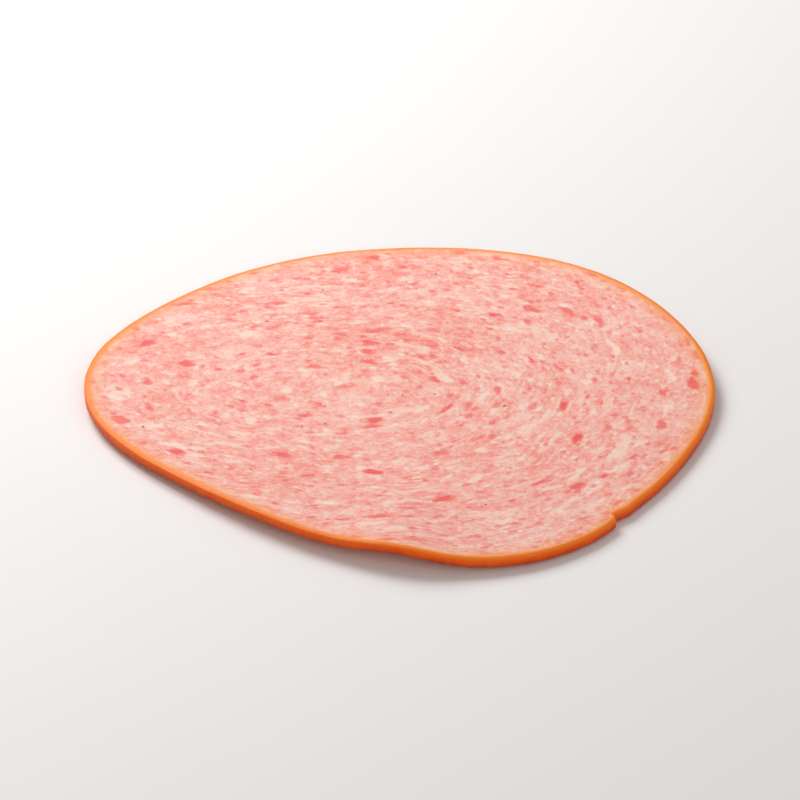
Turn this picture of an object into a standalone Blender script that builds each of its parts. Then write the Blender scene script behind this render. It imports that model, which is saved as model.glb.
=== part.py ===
"""One slice of cooked sausage, lying on its underside.

The slice is a thin disc cut straight across a smoked sausage. The sausage isn't quite round: its section
has low lobes, and a seam along its side leaves the same small notch in the rim of every slice. The middle
of the slice lies flat. Its rim has curled up a little in three places, and lifts in a short fold in one more.

Metres, +Z up. The origin is under the middle of the slice's box, on the surface that it lies on. The
section's flatter flank faces between -X and -Y, and the notch is in the rim between -Y and +X.
"""

import math

import bmesh
import bpy
from mathutils import Matrix, Vector

# Driving dimensions
MEAN_DIAMETER = 0.095
THICKNESS = 0.0018
RIM_ROUNDING = 0.0004

# Lobes of the section: waves round the rim, height as a share of the mean radius, phase
SECTION_LOBES = (
    (2, 0.033, math.radians(-109)),
    (3, 0.0405, math.radians(134)),
    (4, 0.0245, math.radians(32)),
    (6, 0.0066, math.radians(-23)),
)

# Curls of the rim: direction of the middle, angle over which the curl fades, rise at the rim
RIM_CURLS = (
    (math.radians(-115), math.radians(38), 0.0017),
    (math.radians(-93), math.radians(9), 0.0013),
    (math.radians(172), math.radians(34), 0.0010),
    (math.radians(48), math.radians(40), 0.0022),
)
FLAT_SHARE = 0.42  # of the way from the centre to the rim, which lies flat

# The seam: the section is drawn in a little along it, and a notch, a straight step in, slopes back out to the rim
SEAM_ANGLE = math.radians(-46)
SEAM_DIP = 0.0008
SEAM_LENGTH = 0.007
NOTCH_ANGLE = math.radians(-51)
NOTCH_DEPTH = 0.0011
NOTCH_LENGTH = 0.0035

# Fineness of the mesh
TURN_STEPS = 120
CURL_RINGS = 7
ROUNDING_STEPS = 3

MEAN_RADIUS = MEAN_DIAMETER / 2
MERGE_DISTANCE = 0.00001


def section_radius(angle):
    """Distance from the middle of the section to the rim in this direction, before the notch is cut."""
    lobes = sum(share * math.cos(count * angle - phase) for count, share, phase in SECTION_LOBES)
    from_seam = MEAN_RADIUS * math.remainder(angle - SEAM_ANGLE, math.tau)
    dip = SEAM_DIP * math.exp(-((from_seam / SEAM_LENGTH) ** 2))
    return MEAN_RADIUS * (1 + lobes) - dip


def rim_rise(angle):
    """How far the curls lift the rim in this direction."""
    rise = 0.0
    for middle, spread, height in RIM_CURLS:
        turn = math.remainder(angle - middle, math.tau)
        rise += height * math.exp(-((turn / spread) ** 2))
    return rise


def curl_share(way_out):
    """Share of the rim's rise at this share of the way out: none in the flat middle, then ever steeper."""
    return max(0.0, (way_out - FLAT_SHARE) / (1 - FLAT_SHARE)) ** 2


def half_profile():
    """Half the flat disc's cross-section, from the top centre round the rim to the bottom centre."""
    flat_edge = MEAN_RADIUS - RIM_ROUNDING
    rings = [MEAN_RADIUS * FLAT_SHARE]
    for ring in range(1, CURL_RINGS + 1):
        rings.append(rings[0] + (flat_edge - rings[0]) * ring / CURL_RINGS)
    top = [Vector((0, 0, THICKNESS))] + [Vector((radius, 0, THICKNESS)) for radius in rings]
    for step in range(1, ROUNDING_STEPS + 1):
        turn = math.pi / 2 * step / ROUNDING_STEPS
        out = flat_edge + RIM_ROUNDING * math.sin(turn)
        up = THICKNESS - RIM_ROUNDING * (1 - math.cos(turn))
        top.append(Vector((out, 0, up)))
    bottom = [Vector((point.x, 0, THICKNESS - point.z)) for point in reversed(top)]
    return top + bottom


def turned_disc(name, profile, collection):
    """A mesh object made by turning a profile in the XZ plane about Z."""
    line = bpy.data.meshes.new(name + "_profile")
    line.from_pydata(profile, [(i, i + 1) for i in range(len(profile) - 1)], [])
    blank = bpy.data.objects.new(name + "_blank", line)
    collection.objects.link(blank)
    screw = blank.modifiers.new("turn", "SCREW")
    screw.axis = "Z"
    screw.steps = TURN_STEPS
    screw.render_steps = TURN_STEPS
    screw.use_merge_vertices = True
    screw.merge_threshold = MERGE_DISTANCE
    graph = bpy.context.evaluated_depsgraph_get()
    mesh = bpy.data.meshes.new_from_object(blank.evaluated_get(graph))
    bpy.data.objects.remove(blank)
    disc = bpy.data.objects.new(name, mesh)
    collection.objects.link(disc)
    return disc


def shape_slice(disc):
    """Gives a round flat disc the section's outline and the rim's curls."""
    for vertex in disc.data.vertices:
        across = vertex.co.xy
        angle = math.atan2(across.y, across.x)
        vertex.co.xy = across * section_radius(angle) / MEAN_RADIUS
        vertex.co.z += rim_rise(angle) * curl_share(across.length / MEAN_RADIUS)


def notch_cutter(collection):
    """A prism through the rim: its near side is the notch's step, and its inner side the slope back out."""
    rim = section_radius(NOTCH_ANGLE)
    slope_end = NOTCH_ANGLE + 2 * NOTCH_LENGTH / rim
    corners = (
        (rim - NOTCH_DEPTH, NOTCH_ANGLE),
        (rim + NOTCH_DEPTH, NOTCH_ANGLE),
        (section_radius(slope_end) + NOTCH_DEPTH, slope_end),
    )
    low, high = -THICKNESS, 3 * THICKNESS
    body = bmesh.new()
    ground = [body.verts.new((r * math.cos(a), r * math.sin(a), low)) for r, a in corners]
    foot = body.faces.new(ground)
    raised = bmesh.ops.extrude_face_region(body, geom=[foot])["geom"]
    raised_corners = [item for item in raised if isinstance(item, bmesh.types.BMVert)]
    bmesh.ops.translate(body, verts=raised_corners, vec=(0, 0, high - low))
    bmesh.ops.recalc_face_normals(body, faces=body.faces)
    mesh = bpy.data.meshes.new("notch_cutter")
    body.to_mesh(mesh)
    body.free()
    cutter = bpy.data.objects.new("notch_cutter", mesh)
    cutter.hide_render = True
    cutter.display_type = "WIRE"
    collection.objects.link(cutter)
    return cutter


def cut_notch(disc, cutter):
    """Takes the notch out of the rim."""
    cut = disc.modifiers.new("seam_notch", "BOOLEAN")
    cut.operation = "DIFFERENCE"
    cut.solver = "EXACT"
    cut.object = cutter


def centre_on_origin(disc, cutter):
    """Moves both so that the origin is under the middle of the slice's box."""
    corners = [Vector(corner) for corner in disc.bound_box]
    low = Vector(map(min, *corners))
    high = Vector(map(max, *corners))
    shift = Matrix.Translation((-(low.x + high.x) / 2, -(low.y + high.y) / 2, -low.z))
    disc.data.transform(shift)
    cutter.data.transform(shift)


def finish(name, colour, roughness):
    """A plain material: base colour and roughness, no metal."""
    material = bpy.data.materials.new(name)
    material.use_nodes = True
    shader = material.node_tree.nodes["Principled BSDF"]
    shader.inputs["Base Color"].default_value = (*colour, 1)
    shader.inputs["Roughness"].default_value = roughness
    shader.inputs["Metallic"].default_value = 0
    return material


def dress(disc):
    """Pink meat on the two cut faces, and smoked skin round the rim."""
    disc.data.materials.append(finish("sausage_meat", (0.90, 0.44, 0.35), 0.42))
    disc.data.materials.append(finish("smoked_rim", (0.80, 0.19, 0.04), 0.35))
    side = MEAN_RADIUS - 2 * RIM_ROUNDING
    for face in disc.data.polygons:
        corners = [disc.data.vertices[index].co.xy.length for index in face.vertices]
        face.material_index = 1 if min(corners) > side else 0
    disc.data.shade_smooth()
    disc.data.set_sharp_from_angle(angle=math.radians(50))


def main():
    for old in list(bpy.data.objects):
        bpy.data.objects.remove(old)
    parts = bpy.data.collections.new("cooked_sausage_slice")
    cutters = bpy.data.collections.new("cutters")
    for collection in (parts, cutters):
        bpy.context.scene.collection.children.link(collection)

    disc = turned_disc("sausage_slice", half_profile(), parts)
    dress(disc)
    shape_slice(disc)
    cutter = notch_cutter(cutters)
    centre_on_origin(disc, cutter)
    cut_notch(disc, cutter)


main()
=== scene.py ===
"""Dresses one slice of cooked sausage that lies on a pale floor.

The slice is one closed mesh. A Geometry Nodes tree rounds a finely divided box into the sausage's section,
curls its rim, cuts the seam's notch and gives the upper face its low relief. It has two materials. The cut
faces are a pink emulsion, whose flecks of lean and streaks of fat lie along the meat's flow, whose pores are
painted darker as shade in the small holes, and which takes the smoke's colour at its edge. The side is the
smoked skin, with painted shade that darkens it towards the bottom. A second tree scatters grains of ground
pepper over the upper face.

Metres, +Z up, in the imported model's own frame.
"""

from __future__ import annotations

import logging
import math
from collections.abc import Mapping, Sequence
from dataclasses import dataclass
from enum import Enum
from typing import Any, Union

import bpy
from mathutils import Matrix, Vector

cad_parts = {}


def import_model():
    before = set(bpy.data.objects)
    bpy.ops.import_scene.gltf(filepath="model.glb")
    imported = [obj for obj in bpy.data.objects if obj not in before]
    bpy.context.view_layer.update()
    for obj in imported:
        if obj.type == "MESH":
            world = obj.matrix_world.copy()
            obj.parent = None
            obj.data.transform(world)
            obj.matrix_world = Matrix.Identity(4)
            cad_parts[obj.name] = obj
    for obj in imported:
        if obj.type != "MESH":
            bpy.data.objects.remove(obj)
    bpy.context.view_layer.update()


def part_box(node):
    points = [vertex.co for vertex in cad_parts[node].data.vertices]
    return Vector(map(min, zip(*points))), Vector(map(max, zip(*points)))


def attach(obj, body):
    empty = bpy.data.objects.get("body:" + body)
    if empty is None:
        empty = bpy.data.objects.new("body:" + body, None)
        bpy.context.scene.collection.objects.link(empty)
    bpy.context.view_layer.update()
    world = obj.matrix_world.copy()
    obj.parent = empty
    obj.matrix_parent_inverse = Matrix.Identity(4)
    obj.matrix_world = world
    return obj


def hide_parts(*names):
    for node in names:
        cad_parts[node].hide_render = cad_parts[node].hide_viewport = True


LOG = logging.getLogger("sausage")
MM = 0.001
RIM_GAP = "rim_gap"  # kept at each point of the slice: distance from the outline
HEIGHT = "height"  # kept there too: share of the way up the side

Number = Union["Term", float, int]
Colour = tuple[float, float, float]
Place = tuple[float, float, float]
Band = tuple[float, float]


def srgb(red: int, green: int, blue: int) -> Colour:
    """Linear values of a colour that is written as it looks on a screen.

    Args:
        red: Red, from 0 to 255.
        green: Green, from 0 to 255.
        blue: Blue, from 0 to 255.

    Returns:
        The three linear values, from 0 to 1.
    """
    shares = (value / 255 for value in (red, green, blue))
    return tuple(s / 12.92 if s <= 0.04045 else ((s + 0.055) / 1.055) ** 2.4 for s in shares)


# ---------------------------------------------------------------- node trees as expressions


class Term:
    """A number in a node tree: arithmetic on it adds Math nodes."""

    def __init__(self, maker: TreeMaker, socket: bpy.types.NodeSocket) -> None:
        """Wraps an output socket of a node that the maker made."""
        self.maker = maker
        self.socket = socket

    def __add__(self, other: Number) -> Term:
        """Sum."""
        return self.maker.maths("ADD", self, other)

    def __radd__(self, other: Number) -> Term:
        """Sum, with the number first."""
        return self.maker.maths("ADD", other, self)

    def __sub__(self, other: Number) -> Term:
        """Difference."""
        return self.maker.maths("SUBTRACT", self, other)

    def __rsub__(self, other: Number) -> Term:
        """Difference, with the number first."""
        return self.maker.maths("SUBTRACT", other, self)

    def __mul__(self, other: Number) -> Term:
        """Product."""
        return self.maker.maths("MULTIPLY", self, other)

    def __rmul__(self, other: Number) -> Term:
        """Product, with the number first."""
        return self.maker.maths("MULTIPLY", other, self)

    def __truediv__(self, other: Number) -> Term:
        """Quotient."""
        return self.maker.maths("DIVIDE", self, other)

    def __pow__(self, other: Number) -> Term:
        """Power."""
        return self.maker.maths("POWER", self, other)

    def __neg__(self) -> Term:
        """Negative."""
        return self.maker.maths("MULTIPLY", self, -1.0)

    def __abs__(self) -> Term:
        """Absolute value."""
        return self.maker.maths("ABSOLUTE", self)

    def __gt__(self, other: Number) -> Term:
        """One where this is greater, and otherwise nought."""
        return self.maker.maths("GREATER_THAN", self, other)

    def __lt__(self, other: Number) -> Term:
        """One where this is less, and otherwise nought."""
        return self.maker.maths("LESS_THAN", self, other)


class Made:
    """A node that has been added, whose outputs are read by name."""

    def __init__(self, maker: TreeMaker, node: bpy.types.Node) -> None:
        """Wraps a node of the maker's tree."""
        self.maker = maker
        self.node = node

    def __getitem__(self, name: str) -> Term:
        """The output of this name that the node's settings leave in use."""
        found = [socket for socket in self.node.outputs if socket.name == name and socket.enabled]
        return Term(self.maker, found[0])


class TreeMaker:
    """Adds nodes to one tree, for a material or for geometry."""

    COLUMN = 180
    ROWS = 12
    ROW = 220

    def __init__(self, tree: bpy.types.NodeTree) -> None:
        """Starts on a tree, which may hold nodes already."""
        self.tree = tree
        self.count = 0

    def node(
        self,
        kind: str,
        settings: Mapping[str, Any] | None = None,
        values: Mapping[str | int, Any] | None = None,
    ) -> Made:
        """Adds a node.

        Args:
            kind: The node's type.
            settings: The node's own settings, which are set first.
            values: What its inputs hold or are linked to, by name or by number.

        Returns:
            The node.
        """
        node = self.tree.nodes.new(kind)
        node.location = (self.count // self.ROWS * self.COLUMN, -(self.count % self.ROWS) * self.ROW)
        self.count += 1
        for name, value in (settings or {}).items():
            setattr(node, name, value)
        for key, value in (values or {}).items():
            self.fill(self.input_of(node, key), value)
        return Made(self, node)

    @staticmethod
    def input_of(node: bpy.types.Node, key: str | int) -> bpy.types.NodeSocket:
        """The input with this number, or with this name among those that are in use."""
        if isinstance(key, int):
            return node.inputs[key]
        return next(socket for socket in node.inputs if socket.name == key and socket.enabled)

    def fill(self, socket: bpy.types.NodeSocket, value: Any) -> None:
        """Links an input to a term, or sets its own value."""
        if isinstance(value, Term):
            self.tree.links.new(value.socket, socket)
        else:
            socket.default_value = value

    def maths(self, operation: str, *values: Number) -> Term:
        """The result of a Math node."""
        return self.node("ShaderNodeMath", {"operation": operation}, dict(enumerate(values)))["Value"]

    def vector_maths(self, operation: str, *values: Any) -> Term:
        """The vector that a Vector Math node gives."""
        return self.node("ShaderNodeVectorMath", {"operation": operation}, dict(enumerate(values)))["Vector"]

    def scaled(self, vector: Term, factor: float) -> Term:
        """A vector times a number."""
        values = {"Vector": vector, "Scale": factor}
        return self.node("ShaderNodeVectorMath", {"operation": "SCALE"}, values)["Vector"]

    def split(self, vector: Term) -> tuple[Term, Term, Term]:
        """The three numbers of a vector."""
        parts = self.node("ShaderNodeSeparateXYZ", values={"Vector": vector})
        return parts["X"], parts["Y"], parts["Z"]

    def joined(self, x: Number, y: Number, z: Number) -> Term:
        """A vector of three numbers."""
        return self.node("ShaderNodeCombineXYZ", values={"X": x, "Y": y, "Z": z})["Vector"]

    def clamped(self, value: Number) -> Term:
        """A number held between nought and one."""
        return self.node("ShaderNodeClamp", values={"Value": value})["Result"]

    def greater(self, first: Number, second: Number) -> Term:
        """The greater one of two numbers."""
        return self.maths("MAXIMUM", first, second)

    def chosen(self, share: Term, whole: Number, none: Number) -> Term:
        """A number between two, by the share that the first one has."""
        return none + share * (whole - none)

    def ramp(self, value: Term, start: float, end: float) -> Term:
        """Nought before the start, one past the end, and a smooth step between them."""
        settings = {"interpolation_type": "SMOOTHSTEP", "clamp": True}
        low, high, reverse = (start, end, False) if start < end else (end, start, True)
        values = {"Value": value, "From Min": low, "From Max": high}
        step = self.node("ShaderNodeMapRange", settings, values)["Result"]
        return 1.0 - step if reverse else step

    def noise(self, at: Term, size: float, detail: float = 2.0, roughness: float = 0.5) -> Made:
        """A Noise Texture node, whose blobs have this size."""
        values = {"Vector": at, "Scale": 1 / size, "Detail": detail, "Roughness": roughness}
        return self.node("ShaderNodeTexNoise", {"noise_dimensions": "3D"}, values)

    def drift(self, at: Term, size: float, reach: float) -> Term:
        """The same place, moved by noise of this size by up to about this reach."""
        offset = self.vector_maths("SUBTRACT", self.noise(at, size, 1.0)["Color"], (0.5, 0.5, 0.5))
        return self.vector_maths("ADD", at, self.scaled(offset, 2 * reach))

    def cells(self, at: Term, size: float, disorder: float) -> Made:
        """A Voronoi Texture node with cells of this size, whose middles stray by this share of it."""
        values = {"Vector": at, "Scale": 1 / size, "Randomness": disorder}
        return self.node("ShaderNodeTexVoronoi", {"feature": "F1"}, values)

    def mixed(self, share: Number, under: Any, over: Any) -> Term:
        """One colour over another, with this share of the upper one."""
        settings = {"data_type": "RGBA", "blend_type": "MIX"}
        values = {"Factor": share, "A": self.paint(under), "B": self.paint(over)}
        return self.node("ShaderNodeMix", settings, values)["Result"]

    @staticmethod
    def paint(colour: Any) -> Any:
        """A colour as a socket takes it: a term as it is, and three numbers with an alpha of one."""
        return colour if isinstance(colour, Term) else (*colour, 1.0)


@dataclass(frozen=True)
class Layer:
    """One layer of soft noise.

    Attributes:
        size: Size of its blobs, in metres.
        weight: How far it reaches, from its lowest to its highest.
        detail: How many finer layers lie in it.
        roughness: How strong those are.
        stretch: How far it is drawn out along the meat's flow.
    """

    size: float
    weight: float = 1.0
    detail: float = 2.0
    roughness: float = 0.5
    stretch: float = 0.0

    def height(self, maker: TreeMaker, at: Term) -> Term:
        """The layer, from nought to its weight."""
        blobs = maker.noise(at, self.size, self.detail, self.roughness)["Fac"]
        return blobs if self.weight == 1.0 else blobs * self.weight

    def swing(self, maker: TreeMaker, at: Term) -> Term:
        """The layer, as much below nought as above it."""
        return self.height(maker, at) - self.weight / 2


class Surface:
    """A new material with its one shader, and the place on the piece that it colours."""

    def __init__(self, name: str) -> None:
        """Starts the material under this name."""
        self.material = bpy.data.materials.new(name)
        self.material.use_nodes = True
        self.maker = TreeMaker(self.material.node_tree)
        self.at = self.maker.node("ShaderNodeTexCoord")["Object"]

    def kept(self, name: str) -> Term:
        """A number that the mesh keeps at each point under this name."""
        return self.maker.node("ShaderNodeAttribute", {"attribute_name": name})["Fac"]

    def give(self, values: Mapping[str, Any]) -> None:
        """Links the shader's inputs to terms, or sets their own values."""
        shader = self.material.node_tree.nodes["Principled BSDF"]
        for name, value in values.items():
            self.maker.fill(shader.inputs[name], value)

    def raised(self, relief: Term) -> Term:
        """The direction in which the surface faces, with a fine relief given in metres."""
        values = {"Strength": 1.0, "Distance": 1.0, "Height": relief}
        return self.maker.node("ShaderNodeBump", values=values)["Normal"]


# ---------------------------------------------------------------- finishes


@dataclass(frozen=True)
class Flecks:
    """Small pieces that show in the meat, each inside one cell of a pattern.

    Attributes:
        cell: Size of the cells, in metres.
        share: Share of the cells that hold a piece.
        radius: Mean radius of a piece, as a share of the cell.
        softness: Half the width of a piece's edge, as a share of the cell.
        raggedness: How far the outline wanders, in metres.
        strength: Share of the piece's colour at its middle, in the clearest ones.
        stretch: How far the pieces are drawn out along the meat's flow.
        shift: Moves the pattern, so that two patterns don't fall on each other.
    """

    DISORDER = 0.85
    RAGGED_SHARE = 0.45
    SMALLEST = 0.6
    LARGEST = 1.4
    FAINTEST = 0.55

    cell: float
    share: float
    radius: float
    softness: float
    raggedness: float
    strength: float
    stretch: float = 0.0
    shift: Place = (0.0, 0.0, 0.0)

    def mask(self, maker: TreeMaker, at: Term, grain: Term) -> Term:
        """Where the pieces show.

        Args:
            maker: The material's tree.
            at: The place in the meat, drawn out along its flow.
            grain: The meat's fine grain about nought, which frays the edges.

        Returns:
            From nought beside a piece to the strength at its middle.
        """
        moved = maker.vector_maths("ADD", at, self.shift)
        ragged = maker.drift(moved, self.cell * self.RAGGED_SHARE, self.raggedness)
        pattern = maker.cells(ragged, self.cell, self.DISORDER)
        chance = maker.node("ShaderNodeSeparateColor", values={"Color": pattern["Color"]})
        present = chance["Red"] < self.share
        radius = self.radius * maker.chosen(chance["Green"], self.LARGEST, self.SMALLEST)
        frayed = radius + grain * (2 * self.softness)
        edge = (frayed - pattern["Distance"]) / (2 * self.softness) + 0.5
        clearness = self.strength * maker.chosen(chance["Blue"], 1.0, self.FAINTEST)
        return maker.clamped(edge) * present * clearness


@dataclass(frozen=True)
class Swirl:
    """The way in which the meat turned as it filled its casing: nested rounds, drawn out towards -X.

    Attributes:
        middle: X and Y of the innermost round.
        core: Radius within which the meat has no clear direction.
        tail: How fast the rounds follow one another along -X, as a share of that along Y.
        turn: Half the width of the stretch in which the drawn-out side passes into the round one.
        stretch: How much the meat is drawn out along the rounds.
        wander: How far the rounds wander.
        wander_size: The size of that wandering.
        strand_share: Width of a long strand, as a share of its length.
    """

    middle: tuple[float, float] = (-4 * MM, 4 * MM)
    core: float = 7 * MM
    tail: float = 0.45
    turn: float = 6 * MM
    stretch: float = 1.3
    wander: float = 4 * MM
    wander_size: float = 22 * MM
    strand_share: float = 0.09

    def along(self, maker: TreeMaker, at: Term, stretch: float) -> Term:
        """A place in the meat for a pattern that is drawn out along the swirl.

        The third number grows across the rounds, so a pattern in it is narrower across them than along them.

        Args:
            maker: The material's tree.
            at: The place on the slice.
            stretch: How much to draw it out, as a share of the swirl's own stretch.

        Returns:
            The place to hand to a texture.
        """
        x, y, z = maker.split(at)
        return maker.joined(x, y, z + self._rounds(maker, at) * (self.stretch * stretch))

    def strands(self, maker: TreeMaker, at: Term) -> Term:
        """A place in the meat for a pattern of long strands, which run with the rounds.

        Args:
            maker: The material's tree.
            at: The place on the slice.

        Returns:
            The place to hand to a texture.
        """
        x, y, z = maker.split(maker.scaled(at, self.strand_share))
        return maker.joined(x, y, z + self._rounds(maker, at))

    def _rounds(self, maker: TreeMaker, at: Term) -> Term:
        """How far out the round is on which a place lies."""
        x, y, _ = maker.split(maker.drift(at, self.wander_size, self.wander))
        beside = x - self.middle[0]
        ahead = y - self.middle[1]
        share = maker.chosen(maker.ramp(beside, -self.turn, self.turn), 1.0, self.tail)
        across = beside * share
        return maker.maths("SQRT", across * across + ahead * ahead + self.core**2)


@dataclass(frozen=True)
class SmokedRim:
    """The smoked rim: how its colour fades into the meat, its tones from the meat outwards, and the painted
    shade that darkens its side downwards.

    A band holds two distances from the outline: where its colour begins, and where it is complete.

    Attributes:
        inside: Colour on the cut face.
        edge: Colour at the top of the side, and at the very edge of the face.
        side: Colour of the side.
        dark_patches_and_painted_shade: Colour of the side's darker patches, and of the painted shade at its
            lower edge.
        band: Band of the rim on the cut face.
        edge_band: Band of the edge's colour within that.
        halo_band: Band in which the meat beside the rim is tinted.
        halo: Share of that tint.
        slow_wander: How far the rim's inner edge wanders in long waves.
        quick_wander: How far it wanders in short ones.
        edge_wander: How far the edge's colour wanders.
        painted_shade_share: Share of the darker colour at the bottom of the side, painted there as shade.
        painted_shade_fall: How much less of that painted shade there is at the top.
        lip: Heights between which the side takes the edge's colour.
        patches: Darker and lighter patches of the side.
        fibres: Fine fibres of the side.
        wrinkles: Fine wrinkles of the side.
        wrinkle_depth: Height of those wrinkles.
        roughness: How dull the side is.
        wrinkle_dullness: How much duller or glossier the wrinkles make it.
        gloss: Strength of its reflections, where an ordinary surface has 0.5.
    """

    UPRIGHT_FIBRES = (1.0, 1.0, 0.3)
    UPRIGHT_WRINKLES = (1.0, 1.0, 0.4)

    inside: Colour = srgb(255, 158, 72)
    edge: Colour = srgb(255, 132, 34)
    side: Colour = srgb(252, 104, 12)
    # The dark colour of the skin's patches, which also paints shade at the side's lower edge.
    dark_patches_and_painted_shade: Colour = srgb(196, 46, 4)
    band: Band = (1.85 * MM, 0.55 * MM)
    edge_band: Band = (0.95 * MM, 0.3 * MM)
    halo_band: Band = (4.5 * MM, 0.6 * MM)
    halo: float = 0.36
    slow_wander: Layer = Layer(7 * MM, 1.12 * MM)
    quick_wander: Layer = Layer(0.9 * MM, 0.8 * MM, 3.0, 0.6)
    edge_wander: Layer = Layer(2.6 * MM, 0.5 * MM, 3.0, 0.6)
    # Painted shade: how much of the dark colour lies at the bottom of the side, and how it fades upwards.
    painted_shade_share: float = 0.95
    painted_shade_fall: float = 1.4
    lip: Band = (0.66, 1.0)
    patches: Layer = Layer(3.5 * MM, 1.1, 4.0, 0.6)
    fibres: Layer = Layer(0.5 * MM, 0.5, 3.0, 0.6)
    wrinkles: Layer = Layer(0.7 * MM, 1.0, 4.0, 0.6)
    wrinkle_depth: float = 0.1 * MM
    roughness: float = 0.5
    wrinkle_dullness: float = 0.2
    gloss: float = 0.2

    def share(self, maker: TreeMaker, at: Term, gap: Term) -> Term:
        """How far the meat has taken the rim's colour.

        Args:
            maker: The material's tree.
            at: The place on the slice.
            gap: Distance from the outline.

        Returns:
            From nought in the meat to one at the outline.
        """
        uneven = gap + self.slow_wander.swing(maker, at) + self.quick_wander.swing(maker, at)
        halo = maker.ramp(gap, *self.halo_band) * self.halo
        return maker.greater(maker.ramp(uneven, *self.band), halo)

    def face_colour(self, maker: TreeMaker, at: Term, gap: Term) -> Term:
        """The rim's colour on the cut face: paler inwards, deeper at the very edge."""
        uneven = gap + self.edge_wander.swing(maker, at)
        return maker.mixed(maker.ramp(uneven, *self.edge_band), self.inside, self.edge)

    def side_colour(self, maker: TreeMaker, at: Term, height: Term) -> Term:
        """The side's colour, with darker patches, and painted shade that darkens it towards the bottom."""
        upright = maker.vector_maths("MULTIPLY", at, self.UPRIGHT_FIBRES)
        tone = self.patches.swing(maker, at) + self.fibres.swing(maker, upright)
        # Darker towards the bottom of the side: painted shade, with the skin's own darker and lighter patches
        # added.
        depth = maker.clamped(self.painted_shade_share - height * self.painted_shade_fall + tone)
        lower = maker.mixed(depth, self.side, self.dark_patches_and_painted_shade)
        return maker.mixed(maker.ramp(height, *self.lip), lower, self.edge)

    def side_material(self) -> bpy.types.Material:
        """The material of the slice's side: a thin skin, less moist than the cut meat.

        Returns:
            A material that reads Object coordinates and the height that the mesh keeps.
        """
        surface = Surface("smoked_skin")
        maker, at = surface.maker, surface.at
        upright = maker.vector_maths("MULTIPLY", at, self.UPRIGHT_WRINKLES)
        wrinkles = self.wrinkles.swing(maker, upright)
        surface.give({
            "Base Color": self.side_colour(maker, at, surface.kept(HEIGHT)),
            "Roughness": self.roughness + wrinkles * self.wrinkle_dullness,
            "Normal": surface.raised(wrinkles * self.wrinkle_depth),
            "Specular IOR Level": self.gloss,
        })
        return surface.material


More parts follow.
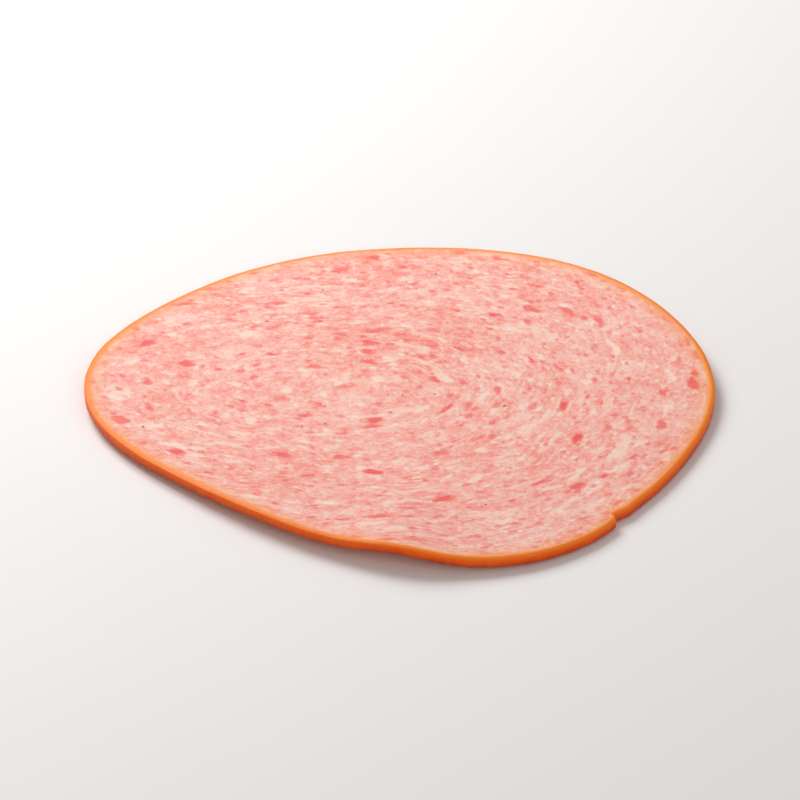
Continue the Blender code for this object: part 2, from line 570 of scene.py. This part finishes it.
@dataclass(frozen=True)
class SausageFinish:
    """Cooked sausage meat, which turns into the smoked rim at its edge.

    Attributes:
        pale_meat: The emulsion's paler pink.
        pink_meat: Its deeper pink.
        lean: Coral of the lean pieces and crumbs.
        fat: Cream of the fat, the streaks and the strands.
        painted_pore_shade: Darker brown painted in the pores as the shade in those small holes.
        rim: The smoked rim.
        swirl: The meat's flow.
        lean_pieces: The larger pieces of lean.
        lean_crumbs: The smaller ones.
        fat_beads: Round beads of fat.
        fat_crumbs: The smaller ones.
        pores: Small holes, which the bump sinks and which are painted darker as shade.
        tones: Clouds, mottle and speckle between the two pinks.
        grain: The finest unevenness.
        grain_tone: How much of the pinks' difference the grain makes.
        streaks: Noise whose crests are the paler streaks.
        streak_band: How the streaks rise out of it.
        streak_strength: Share of the fat's colour in them.
        strands: Noise whose crests are the fine long strands.
        strand_band: How the strands rise out of it.
        strand_strength: Share of the fat's colour in them.
        strand_patches: Noise whose crests are the places with strands.
        patch_band: How those places rise out of it.
        roughness: How dull the moist meat is.
        grain_dullness: How much duller or glossier the grain makes it.
        fat_gloss: How much glossier the beads of fat are.
        smoke_dullness: How much duller the rim is.
        grain_relief: Height of the grain.
        pore_depth: Depth of the pores.
        fat_relief: How far the beads of fat stand up.
        lean_depth: How far the pieces of lean lie in.
        depth_share: Share of the light that passes through the meat before it comes back.
        depth_colours: How far red, green and blue go in it, as shares of the depth.
        depth: How far light goes in it.
        refraction: How strongly its moist surface bends light.
    """

    pale_meat: Colour = srgb(255, 208, 192)
    pink_meat: Colour = srgb(250, 144, 128)
    lean: Colour = srgb(246, 88, 84)
    fat: Colour = srgb(255, 230, 212)
    # Painted shade in the small holes of the pores.
    painted_pore_shade: Colour = srgb(214, 136, 112)
    rim: SmokedRim = SmokedRim()
    swirl: Swirl = Swirl()
    lean_pieces: Flecks = Flecks(4.9 * MM, 0.48, 0.26, 0.10, 1.2 * MM, 0.96, 1.4)
    lean_crumbs: Flecks = Flecks(2.1 * MM, 0.40, 0.28, 0.12, 0.45 * MM, 0.72, 1.0, (0.31, 0.17, 0.05))
    fat_beads: Flecks = Flecks(2.7 * MM, 0.30, 0.25, 0.10, 0.6 * MM, 0.7, 1.2, (0.12, 0.43, 0.21))
    fat_crumbs: Flecks = Flecks(1.5 * MM, 0.26, 0.26, 0.10, 0.25 * MM, 0.8, 1.0, (0.37, 0.08, 0.46))
    pores: Flecks = Flecks(2.4 * MM, 0.16, 0.10, 0.04, 0.12 * MM, 0.8, 0.0, (0.53, 0.29, 0.37))
    tones: Sequence[Layer] = (
        Layer(13 * MM, 0.7, 2.0, 0.5, 0.4),
        Layer(3 * MM, 1.9, 3.0, 0.6, 0.8),
        Layer(1 * MM, 1.9, 3.0, 0.6, 0.6),
    )
    grain: Layer = Layer(0.42 * MM, 1.0, 4.0, 0.65)
    grain_tone: float = 1.5
    streaks: Layer = Layer(4.2 * MM, 1.0, 3.0, 0.5, 1.5)
    streak_band: Band = (0.58, 0.68)
    streak_strength: float = 0.65
    strands: Layer = Layer(0.9 * MM)
    strand_band: Band = (0.54, 0.68)
    strand_strength: float = 0.5
    strand_patches: Layer = Layer(13 * MM, 1.0, 1.0)
    patch_band: Band = (0.47, 0.58)
    roughness: float = 0.42
    grain_dullness: float = 0.16
    fat_gloss: float = 0.08
    smoke_dullness: float = 0.12
    grain_relief: float = 0.07 * MM
    pore_depth: float = 0.09 * MM
    fat_relief: float = 0.02 * MM
    lean_depth: float = 0.015 * MM
    depth_share: float = 0.12
    depth_colours: Colour = (1.0, 0.4, 0.25)
    depth: float = 1.2 * MM
    refraction: float = 1.42

    def material(self) -> bpy.types.Material:
        """The material of the two cut faces.

        Returns:
            A material that reads Object coordinates and the distance from the outline that the mesh keeps.
        """
        surface = Surface("sausage_meat")
        maker, at = surface.maker, surface.at
        gap = surface.kept(RIM_GAP)
        grain = self.grain.swing(maker, at)
        lean = self._flecks(maker, at, self.lean_pieces, grain)
        crumbs = self._flecks(maker, at, self.lean_crumbs, grain)
        beads = self._flecks(maker, at, self.fat_beads, grain)
        dots = self._flecks(maker, at, self.fat_crumbs, grain)
        pores = self.pores.mask(maker, at, grain)
        smoke = self.rim.share(maker, at, gap)

        meat = maker.mixed(maker.greater(beads, dots), self._emulsion(maker, at, grain), self.fat)
        meat = maker.mixed(crumbs, meat, self.lean)
        meat = maker.mixed(lean, meat, self.lean)
        # Painted shade: the pores are coloured darker where the holes lie.
        meat = maker.mixed(pores, meat, self.painted_pore_shade)
        dullness = grain * self.grain_dullness - beads * self.fat_gloss + smoke * self.smoke_dullness
        raised = grain * self.grain_relief + beads * self.fat_relief
        sunk = pores * self.pore_depth + lean * self.lean_depth
        surface.give({
            "Base Color": maker.mixed(smoke, meat, self.rim.face_colour(maker, at, gap)),
            "Roughness": self.roughness + dullness,
            "Normal": surface.raised(raised - sunk),
            "Subsurface Weight": self.depth_share,
            "Subsurface Radius": self.depth_colours,
            "Subsurface Scale": self.depth,
            "IOR": self.refraction,
        })
        return surface.material

    def _flecks(self, maker: TreeMaker, at: Term, flecks: Flecks, grain: Term) -> Term:
        """Where pieces that are drawn out along the swirl show."""
        return flecks.mask(maker, self.swirl.along(maker, at, flecks.stretch), grain)

    def _emulsion(self, maker: TreeMaker, at: Term, grain: Term) -> Term:
        """The emulsion between the flecks: two pinks in clouds, with streaks and strands of fat."""
        share = 0.5 + grain * self.grain_tone
        for tone in self.tones:
            share = share + tone.swing(maker, self.swirl.along(maker, at, tone.stretch))
        meat = maker.mixed(maker.clamped(share), self.pale_meat, self.pink_meat)
        flow = self.streaks.height(maker, self.swirl.along(maker, at, self.streaks.stretch))
        streaks = maker.ramp(flow, *self.streak_band) * self.streak_strength
        fine_flow = self.strands.height(maker, self.swirl.strands(maker, at))
        patches = maker.ramp(self.strand_patches.height(maker, at), *self.patch_band)
        strands = maker.ramp(fine_flow, *self.strand_band) * patches * self.strand_strength
        return maker.mixed(maker.greater(streaks, strands), meat, self.fat)


@dataclass(frozen=True)
class PepperFinish:
    """Ground pepper: dull brown grains, in which husk and kernel alternate."""

    husk: Colour = srgb(168, 112, 78)
    kernel: Colour = srgb(206, 158, 122)
    pattern: Layer = Layer(0.3 * MM)
    kernel_band: Band = (0.4, 0.6)
    roughness: float = 0.6

    def material(self) -> bpy.types.Material:
        """The grains' material."""
        surface = Surface("ground_pepper")
        maker = surface.maker
        share = maker.ramp(self.pattern.height(maker, surface.at), *self.kernel_band)
        surface.give({"Base Color": maker.mixed(share, self.husk, self.kernel), "Roughness": self.roughness})
        return surface.material


@dataclass(frozen=True)
class FloorFinish:
    """A plain pale floor, with a very faint unevenness."""

    colour: Colour = srgb(243, 241, 239)
    roughness: float = 0.6
    unevenness: Layer = Layer(30 * MM, 0.1)

    def material(self) -> bpy.types.Material:
        """The floor's material."""
        surface = Surface("pale_floor")
        polish = self.roughness + self.unevenness.swing(surface.maker, surface.at)
        surface.give({"Base Color": TreeMaker.paint(self.colour), "Roughness": polish})
        return surface.material


# ---------------------------------------------------------------- geometry trees


def shape_tree(name: str, sizes: Mapping[str, float], takes_mesh: bool) -> bpy.types.NodeTree:
    """A new Geometry Nodes tree.

    Args:
        name: Its name.
        sizes: The names of its inputs, with the sizes that they will hold.
        takes_mesh: Whether it starts on the mesh of its object.

    Returns:
        The tree, which has its inputs and its output and no nodes.
    """
    tree = bpy.data.node_groups.new(name, "GeometryNodeTree")
    if takes_mesh:
        tree.interface.new_socket("Geometry", in_out="INPUT", socket_type="NodeSocketGeometry")
    for size in sizes:
        tree.interface.new_socket(size, in_out="INPUT", socket_type="NodeSocketFloat")
    tree.interface.new_socket("Geometry", in_out="OUTPUT", socket_type="NodeSocketGeometry")
    return tree


def kept_number(maker: TreeMaker, name: str) -> Term:
    """A number that the mesh in a geometry tree keeps at each point under this name."""
    return maker.node("GeometryNodeInputNamedAttribute", {"data_type": "FLOAT"}, {"Name": name})["Attribute"]


def shape_piece(
    name: str, mesh: bpy.types.Mesh, tree: bpy.types.NodeTree, sizes: Mapping[str, float]
) -> bpy.types.Object:
    """Makes a piece from what a Geometry Nodes tree gives, as a plain smooth mesh.

    Args:
        name: The piece's name.
        mesh: The mesh on which the tree starts.
        tree: The tree.
        sizes: What its named inputs hold.

    Returns:
        The piece, without modifiers.
    """
    piece = bpy.data.objects.new(name, mesh)
    bpy.context.scene.collection.objects.link(piece)
    modifier = piece.modifiers.new("shape", "NODES")
    modifier.node_group = tree
    for item in tree.interface.items_tree:
        if item.name in sizes:
            modifier[item.identifier] = sizes[item.name]
    graph = bpy.context.evaluated_depsgraph_get()
    plain = bpy.data.meshes.new_from_object(piece.evaluated_get(graph), depsgraph=graph)
    plain.name = name
    piece.modifiers.clear()
    piece.data = plain
    plain.shade_smooth()
    return piece


# ---------------------------------------------------------------- pieces


@dataclass(frozen=True)
class Lobe:
    """A wave round the section's outline: how many crests, height as a share of the radius, phase."""

    count: int
    share: float
    phase: float


@dataclass(frozen=True)
class Curl:
    """A stretch of rim that has curled up: direction of its middle, angle over which it fades, rise."""

    middle: float
    spread: float
    rise: float


@dataclass(frozen=True)
class Seam:
    """The seam in the rim: a shallow dip of the section, and the notch, a step in and a slope back out."""

    dip_angle: float = math.radians(-46)
    dip: float = 0.8 * MM
    dip_length: float = 7 * MM
    notch_angle: float = math.radians(-51)
    notch_depth: float = 1.1 * MM
    notch_length: float = 3.5 * MM


LOBES = (
    Lobe(2, 0.033, math.radians(-109)),
    Lobe(3, 0.0405, math.radians(134)),
    Lobe(4, 0.0245, math.radians(32)),
    Lobe(6, 0.0066, math.radians(-23)),
)

CURLS = (
    Curl(math.radians(-115), math.radians(38), 1.7 * MM),
    Curl(math.radians(-93), math.radians(9), 1.3 * MM),
    Curl(math.radians(172), math.radians(34), 1.0 * MM),
    Curl(math.radians(48), math.radians(40), 2.2 * MM),
)


@dataclass(frozen=True)
class SausageSlice:
    """The slice: both cut faces and the smoked skin round them, as one closed mesh.

    Attributes:
        radius: Mean radius of the section.
        thickness: Thickness of the slice.
        rounding: How far the rim is rounded at both faces.
        squareness: How tight that rounding is: two is a full round, and more leaves the side upright.
        flat_share: Share of the way from the middle to the rim that lies flat.
        lobes: Waves of the section.
        curls: Curled stretches of the rim.
        seam: The seam in the rim.
        broad_dents: The skin's broad dents.
        small_dents: Its small ones.
        dent_height: How far the small dents' pattern moves from the side's foot to its top.
        waves: Low waves of the upper face.
        fine_relief: Its fine unevenness.
        finish: Colours of the meat and of its rim.
        steps_across: Faces across the slice.
        steps_up: Faces up its side.
        crowding: How much closer the faces lie towards the rim.
        notch_reach: Share of the radius over which the notch and the dents push the meat in.
        skin_share: Share of the rounding that has the skin's material.
        sharp_edge: Angle past which an edge is shaded sharp.
    """

    radius: float = 47.5 * MM
    thickness: float = 1.8 * MM
    rounding: float = 0.4 * MM
    squareness: float = 6.0
    flat_share: float = 0.42
    lobes: Sequence[Lobe] = LOBES
    curls: Sequence[Curl] = CURLS
    seam: Seam = Seam()
    broad_dents: Layer = Layer(7 * MM, 0.22 * MM, 1.0)
    small_dents: Layer = Layer(1.6 * MM, 0.10 * MM)
    dent_height: float = 1.2 * MM
    waves: Layer = Layer(14 * MM, 0.08 * MM, 1.0)
    fine_relief: Layer = Layer(1.8 * MM, 0.05 * MM)
    finish: SausageFinish = SausageFinish()
    steps_across: int = 210
    steps_up: int = 7
    crowding: float = 0.3
    notch_reach: float = 0.08
    skin_share: float = 0.9
    sharp_edge: float = math.radians(38)

    def build(self) -> bpy.types.Object:
        """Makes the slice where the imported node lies.

        Returns:
            The piece, which rides on the root body and replaces the node.
        """
        sizes = {
            "Radius": self.radius,
            "Thickness": self.thickness,
            "Rim rounding": self.rounding,
            "Flat share": self.flat_share,
            "Notch depth": self.seam.notch_depth,
            "Notch length": self.seam.notch_length,
            "Seam dip": self.seam.dip,
        }
        tree = self._tree(sizes, self.finish.material(), self.finish.rim.side_material())
        piece = shape_piece("sausage_meat_slice", bpy.data.meshes.new("slice_start"), tree, sizes)
        piece.data.set_sharp_from_angle(angle=self.sharp_edge)
        self._place(piece)
        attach(piece, "root")
        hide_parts("sausage_slice")
        return piece

    @staticmethod
    def _place(piece: bpy.types.Object) -> None:
        """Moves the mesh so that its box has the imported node's middle, and its lowest point the node's."""
        low, high = (Vector(corner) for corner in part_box("sausage_slice"))
        corners = [Vector(corner) for corner in piece.bound_box]
        own_low = Vector(map(min, *corners))
        own_high = Vector(map(max, *corners))
        shift = (low + high - own_low - own_high) / 2
        shift.z = low.z - own_low.z
        piece.data.transform(Matrix.Translation(shift))

    def _tree(
        self, names: Mapping[str, float], meat: bpy.types.Material, skin: bpy.types.Material
    ) -> bpy.types.NodeTree:
        """The Geometry Nodes tree that makes the slice.

        Args:
            names: The sizes that it takes.
            meat: The cut faces' material.
            skin: The side's material.

        Returns:
            The tree, whose named inputs are the sizes.
        """
        tree = shape_tree("sausage_slice_shape", names, takes_mesh=False)
        maker = TreeMaker(tree)
        sizes = maker.node("NodeGroupInput")

        steps = self.steps_across + 1
        divisions = {"Vertices X": steps, "Vertices Y": steps, "Vertices Z": self.steps_up + 1}
        box = maker.node("GeometryNodeMeshCube", values={"Size": (2.0, 2.0, 1.0), **divisions})
        x, y, z = maker.split(maker.node("GeometryNodeInputPosition")["Position"])
        height = z + 0.5
        cos, sin, way_out = self._round(maker, x, y)
        angle = maker.maths("ARCTAN2", sin, cos)

        section = self._section(maker, angle, sizes)
        cut = self._notch(maker, angle, sizes) + self._dents(maker, cos * section, sin * section, height)
        from_middle = abs(height * 2.0 - 1.0)
        inset = sizes["Rim rounding"] * (1.0 - maker.maths("SQRT", 1.0 - from_middle**self.squareness))
        near_rim = maker.clamped((way_out - (1.0 - self.notch_reach)) / self.notch_reach)
        uncut = way_out * (section - inset)
        out = uncut - cut * near_rim * near_rim
        lift = self._rise(maker, angle) * self._curl(maker, uncut / section, sizes)
        relief = self._relief(maker, cos * out, sin * out) * height
        up = height * sizes["Thickness"] + lift - relief

        with_gap = self._stored(maker, box["Mesh"], RIM_GAP, section - cut - out)
        with_height = self._stored(maker, with_gap, HEIGHT, height)
        place = maker.joined(cos * out, sin * out, up)
        shaped = maker.node("GeometryNodeSetPosition", values={"Geometry": with_height, "Position": place})
        real = maker.node("GeometryNodeRealizeInstances", values={"Geometry": shaped["Geometry"]})
        all_faces = {"Geometry": real["Geometry"], "Material": meat}
        cut_faces = maker.node("GeometryNodeSetMaterial", values=all_faces)
        at_side = kept_number(maker, RIM_GAP) < self.rounding * self.skin_share
        side = {"Geometry": cut_faces["Geometry"], "Selection": at_side, "Material": skin}
        dressed = maker.node("GeometryNodeSetMaterial", values=side)
        maker.node("NodeGroupOutput", values={"Geometry": dressed["Geometry"]})
        return tree

    def _round(self, maker: TreeMaker, x: Term, y: Term) -> tuple[Term, Term, Term]:
        """Turns the box's nested squares into nested circles.

        Args:
            maker: The tree.
            x: Place across the box, from -1 to 1.
            y: Place along the box, from -1 to 1.

        Returns:
            The cosine and sine of the direction, and the share of the way out to the rim.
        """
        wide = abs(x) > abs(y)
        lead = maker.chosen(wide, x, y)
        other = maker.chosen(wide, y, x)
        turn = other / lead * (math.pi / 4)
        side = maker.maths("SIGN", lead)
        along = side * maker.maths("COSINE", turn)
        across = side * maker.maths("SINE", turn)
        share = abs(lead)
        crowded = share + self.crowding * share * (1.0 - share)
        return maker.chosen(wide, along, across), maker.chosen(wide, across, along), crowded

    def _section(self, maker: TreeMaker, angle: Term, sizes: Made) -> Term:
        """Distance from the middle to the rim, before the notch is cut."""
        waves: Number = 1.0
        for lobe in self.lobes:
            waves = waves + lobe.share * maker.maths("COSINE", angle * float(lobe.count) - lobe.phase)
        from_dip = self._round_from(maker, angle, self.seam.dip_angle) / self.seam.dip_length
        dip = sizes["Seam dip"] * maker.maths("EXPONENT", -(from_dip * from_dip))
        return waves * sizes["Radius"] - dip

    def _round_from(self, maker: TreeMaker, angle: Term, start: float) -> Term:
        """Distance round the rim from a direction."""
        return maker.maths("WRAP", angle - start, -math.pi, math.pi) * self.radius

    def _notch(self, maker: TreeMaker, angle: Term, sizes: Made) -> Term:
        """How far the notch cuts in: all of its depth at the step, then ever less along the slope."""
        way = self._round_from(maker, angle, self.seam.notch_angle)
        slope = maker.clamped(1.0 - way / sizes["Notch length"])
        return sizes["Notch depth"] * slope * (way > 0.0)

    def _dents(self, maker: TreeMaker, x: Term, y: Term, height: Term) -> Term:
        """How far the skin's shallow dents draw the side in."""
        broad = self.broad_dents.height(maker, maker.joined(x, y, 0.0))
        return broad + self.small_dents.height(maker, maker.joined(x, y, height * self.dent_height))

    def _rise(self, maker: TreeMaker, angle: Term) -> Term:
        """How far the curls lift the rim in this direction."""
        rise: Number = 0.0
        for curl in self.curls:
            turn = maker.maths("WRAP", angle - curl.middle, -math.pi, math.pi) / curl.spread
            rise = rise + curl.rise * maker.maths("EXPONENT", -(turn * turn))
        return rise

    @staticmethod
    def _curl(maker: TreeMaker, way_out: Term, sizes: Made) -> Term:
        """Share of the rise at this share of the way out: none in the flat middle, then ever steeper."""
        flat = sizes["Flat share"]
        past = maker.clamped((way_out - flat) / (1.0 - flat))
        return past * past

    def _relief(self, maker: TreeMaker, x: Term, y: Term) -> Term:
        """How far the upper face's low waves and fine unevenness lie below its highest points."""
        at = maker.joined(x, y, 0.0)
        return self.waves.height(maker, at) + self.fine_relief.height(maker, at)

    @staticmethod
    def _stored(maker: TreeMaker, geometry: Term, name: str, value: Term) -> Term:
        """The geometry with a number kept at each point under this name."""
        settings = {"data_type": "FLOAT", "domain": "POINT"}
        values = {"Geometry": geometry, "Name": name, "Value": value}
        return maker.node("GeometryNodeStoreNamedAttribute", settings, values)["Geometry"]


@dataclass(frozen=True)
class PepperGrains:
    """Grains of ground pepper set in the upper face.

    Attributes:
        body: The slice.
        seed: Seed of where the grains lie, and the first one of their sizes and turns.
        spacing: Mean distance between grains.
        rim_margin: Width of the rim without grains.
        level: How nearly upwards a face looks that can hold grains.
        smallest: Least radius.
        largest: Greatest radius.
        shortest: Least length, as a share of the width.
        longest: Greatest length, as a share of the width.
        flatness: Height as a share of the width.
        lump_size: Size of a grain's lumps, as a share of its radius.
        lump_reach: How far they stand out, as a share of its radius.
        finish: Colours of the grains.
    """

    body: bpy.types.Object
    seed: int = 7
    spacing: float = 20 * MM
    rim_margin: float = 2.5 * MM
    level: float = 0.9
    smallest: float = 0.11 * MM
    largest: float = 0.24 * MM
    shortest: float = 0.8
    longest: float = 1.5
    flatness: float = 0.5
    lump_size: float = 1.1
    lump_reach: float = 0.5
    finish: PepperFinish = PepperFinish()

    def build(self) -> bpy.types.Object:
        """Scatters the grains.

        Returns:
            All grains as one piece, which rides on the root body.
        """
        sizes = {"Density": 1 / self.spacing**2, "Smallest": self.smallest, "Largest": self.largest}
        tree = self._tree(sizes, self.finish.material())
        piece = shape_piece("pepper_grains", self.body.data.copy(), tree, sizes)
        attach(piece, "root")
        return piece

    def _tree(self, names: Mapping[str, float], material: bpy.types.Material) -> bpy.types.NodeTree:
        """The Geometry Nodes tree that scatters grains on the faces that look up.

        Args:
            names: The sizes that it takes.
            material: The grains' material.

        Returns:
            The tree, whose named inputs are the density and the grains' sizes.
        """
        tree = shape_tree("pepper_scatter", names, takes_mesh=True)
        maker = TreeMaker(tree)
        given = maker.node("NodeGroupInput")

        _, _, facing = maker.split(maker.node("GeometryNodeInputNormal")["Normal"])
        up = (facing > self.level) * (kept_number(maker, RIM_GAP) > self.rim_margin)
        scatter = {"Mesh": given["Geometry"], "Selection": up, "Density": given["Density"], "Seed": self.seed}
        points = maker.node("GeometryNodeDistributePointsOnFaces", {"distribute_method": "RANDOM"}, scatter)
        grain = maker.node("GeometryNodeMeshIcoSphere", values={"Radius": 1.0, "Subdivisions": 2})
        round_place = maker.node("GeometryNodeInputPosition")["Position"]
        lumpy_place = maker.drift(round_place, self.lump_size, self.lump_reach)
        lumpy = {"Geometry": grain["Mesh"], "Position": lumpy_place}
        rough = maker.node("GeometryNodeSetPosition", values=lumpy)
        size = self._between(maker, given["Smallest"], given["Largest"], self.seed + 1)
        turn = self._between(maker, 0.0, math.tau, self.seed + 2)
        length = self._between(maker, self.shortest, self.longest, self.seed + 3)
        instances = {
            "Points": points["Points"],
            "Instance": rough["Geometry"],
            "Rotation": maker.joined(0.0, 0.0, turn),
            "Scale": maker.joined(size * length, size, size * self.flatness),
        }
        placed = maker.node("GeometryNodeInstanceOnPoints", values=instances)
        real = maker.node("GeometryNodeRealizeInstances", values={"Geometry": placed["Instances"]})
        all_faces = {"Geometry": real["Geometry"], "Material": material}
        dressed = maker.node("GeometryNodeSetMaterial", values=all_faces)
        maker.node("NodeGroupOutput", values={"Geometry": dressed["Geometry"]})
        return tree

    @staticmethod
    def _between(maker: TreeMaker, low: Number, high: Number, seed: int) -> Term:
        """A random number between two, drawn for each grain."""
        values = {"Min": low, "Max": high, "Seed": seed}
        return maker.node("FunctionNodeRandomValue", {"data_type": "FLOAT"}, values)["Value"]


# ---------------------------------------------------------------- studio


class LightName(Enum):
    """The studio's lights."""

    KEY = "key_light"
    FILL = "fill_light"


@dataclass(frozen=True)
class SoftBox:
    """A square light: where it stands as seen from the slice, how wide it is and how bright."""

    name: LightName
    place: Place
    width: float
    watts: float

    def build(self, target: Vector) -> None:
        """Adds the light, turned towards the target."""
        data = bpy.data.lights.new(self.name.value, "AREA")
        data.shape = "SQUARE"
        data.size = self.width
        data.energy = self.watts
        light = bpy.data.objects.new(self.name.value, data)
        light.location = target + Vector(self.place)
        light.rotation_euler = (target - light.location).to_track_quat("-Z", "Y").to_euler()
        bpy.context.scene.collection.objects.link(light)


@dataclass(frozen=True)
class Studio:
    """A pale floor, soft light from the back left, and the camera.

    Attributes:
        target: The point at which the lights and the camera look.
        floor_size: Length of the floor's sides.
        floor_finish: Colour of the floor.
        lights: The lights.
        sky: Strength of the even white light from all round.
        eye: Where the camera stands, as seen from the target.
        view_width: Width that the camera takes in at the target.
        nearest: Distance from which on the camera sees.
    """

    target: Vector
    floor_size: float = 6.0
    floor_finish: FloorFinish = FloorFinish()
    lights: Sequence[SoftBox] = (
        SoftBox(LightName.KEY, (-0.21, 0.285, 0.32), 0.28, 2.0),
        SoftBox(LightName.FILL, (0.45, -1.1, 0.7), 0.9, 3.8),
    )
    sky: float = 0.345
    eye: Place = (-0.0183, -1.0951, 0.6135)
    view_width: float = 0.122
    nearest: float = 0.01

    def build(self) -> None:
        """Adds the floor, the lights and the camera."""
        self._floor()
        for light in self.lights:
            light.build(self.target)
        self._sky()
        self._camera()

    def _floor(self) -> None:
        """A square floor under the slice."""
        half = self.floor_size / 2
        mesh = bpy.data.meshes.new("floor")
        corners = [(-half, -half, 0), (half, -half, 0), (half, half, 0), (-half, half, 0)]
        mesh.from_pydata(corners, [], [(0, 1, 2, 3)])
        mesh.materials.append(self.floor_finish.material())
        floor = bpy.data.objects.new("floor", mesh)
        bpy.context.scene.collection.objects.link(floor)

    def _sky(self) -> None:
        """Even white light from all round."""
        world = bpy.data.worlds.new("studio")
        world.use_nodes = True
        background = world.node_tree.nodes["Background"]
        background.inputs["Color"].default_value = (1.0, 1.0, 1.0, 1.0)
        background.inputs["Strength"].default_value = self.sky
        bpy.context.scene.world = world
        bpy.context.scene.view_settings.view_transform = "Standard"

    def _camera(self) -> None:
        """The camera, at the distance and height from which the slice was seen."""
        data = bpy.data.cameras.new("camera")
        camera = bpy.data.objects.new("camera", data)
        offset = Vector(self.eye)
        camera.location = self.target + offset
        camera.rotation_euler = (-offset).to_track_quat("-Z", "Y").to_euler()
        data.angle = 2 * math.atan(self.view_width / 2 / offset.length)
        data.clip_start = self.nearest
        bpy.context.scene.collection.objects.link(camera)
        bpy.context.scene.camera = camera


# ---------------------------------------------------------------- whole


def main() -> None:
    """Builds every piece and logs its faces, then the studio round the imported node's middle."""
    logging.basicConfig(level=logging.INFO, format="%(message)s")
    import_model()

    body = SausageSlice().build()
    LOG.info("slice: %d faces", len(body.data.polygons))
    grains = PepperGrains(body).build()
    LOG.info("pepper grains: %d faces", len(grains.data.polygons))

    low, high = (Vector(corner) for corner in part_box("sausage_slice"))
    Studio((low + high) / 2).build()


if __name__ == "__main__":
    main()
